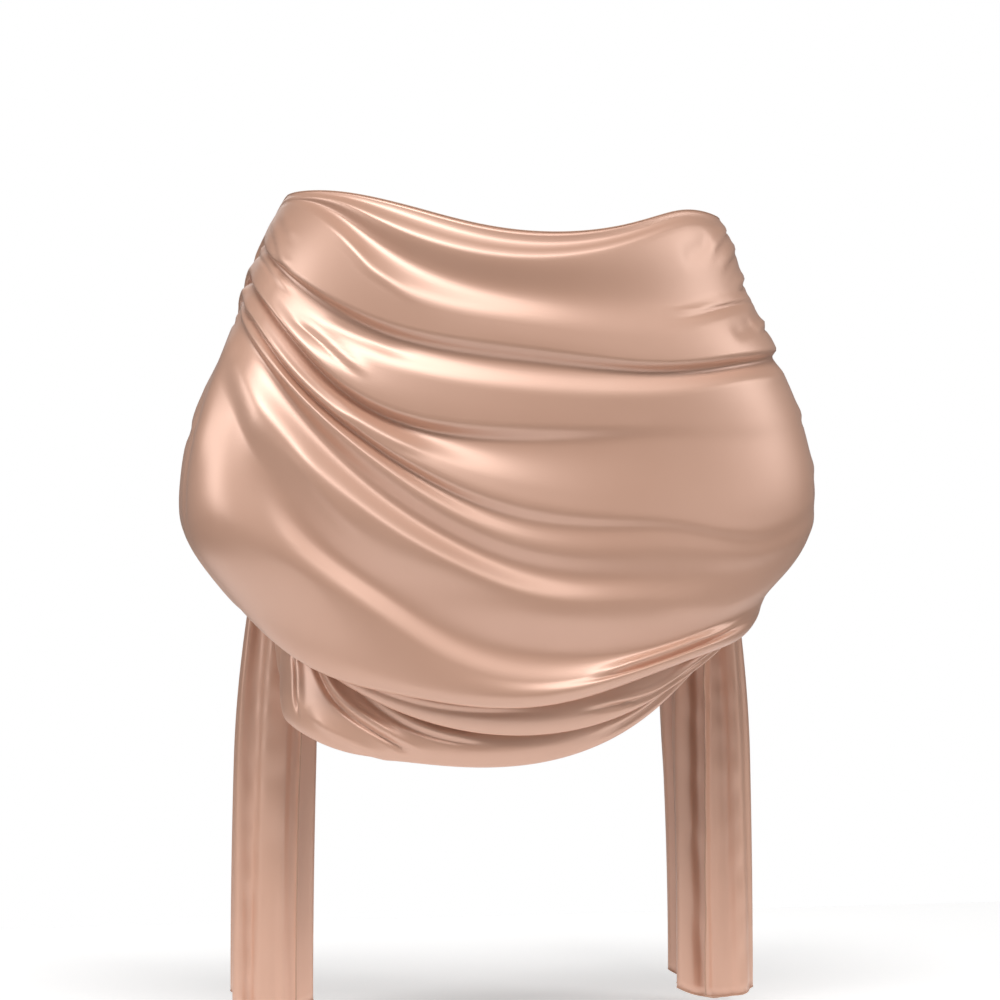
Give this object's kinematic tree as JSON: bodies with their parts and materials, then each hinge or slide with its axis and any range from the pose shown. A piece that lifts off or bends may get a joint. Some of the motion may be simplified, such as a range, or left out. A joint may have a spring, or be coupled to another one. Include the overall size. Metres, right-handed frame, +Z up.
{
  "type": "evening stole",
  "caption": "Satin evening stole worn low round the upper arms: swags across the back, tucked lower border, and pleated tails falling from the forearms.",
  "frame": {"origin": "midway between the wearer's upper arms, at the height where the stole's top edge crosses them, which is where it is held up", "axes": "+Z up, the wearer faces -Y, and the wearer's left is +X"},
  "size_m": [0.636, 0.3415, 0.8173],
  "materials": {
    "satin": "rose champagne satin with a soft sheen, matt enough for broad highlights"
  },
  "bodies": {
    "root": {"back_drape": "satin", "left_arm_wrap": "satin", "right_arm_wrap": "satin", "upper_tuck": "satin", "lower_tuck": "satin", "left_tail": "satin", "right_tail": "satin"}
  },
  "joints": []
}
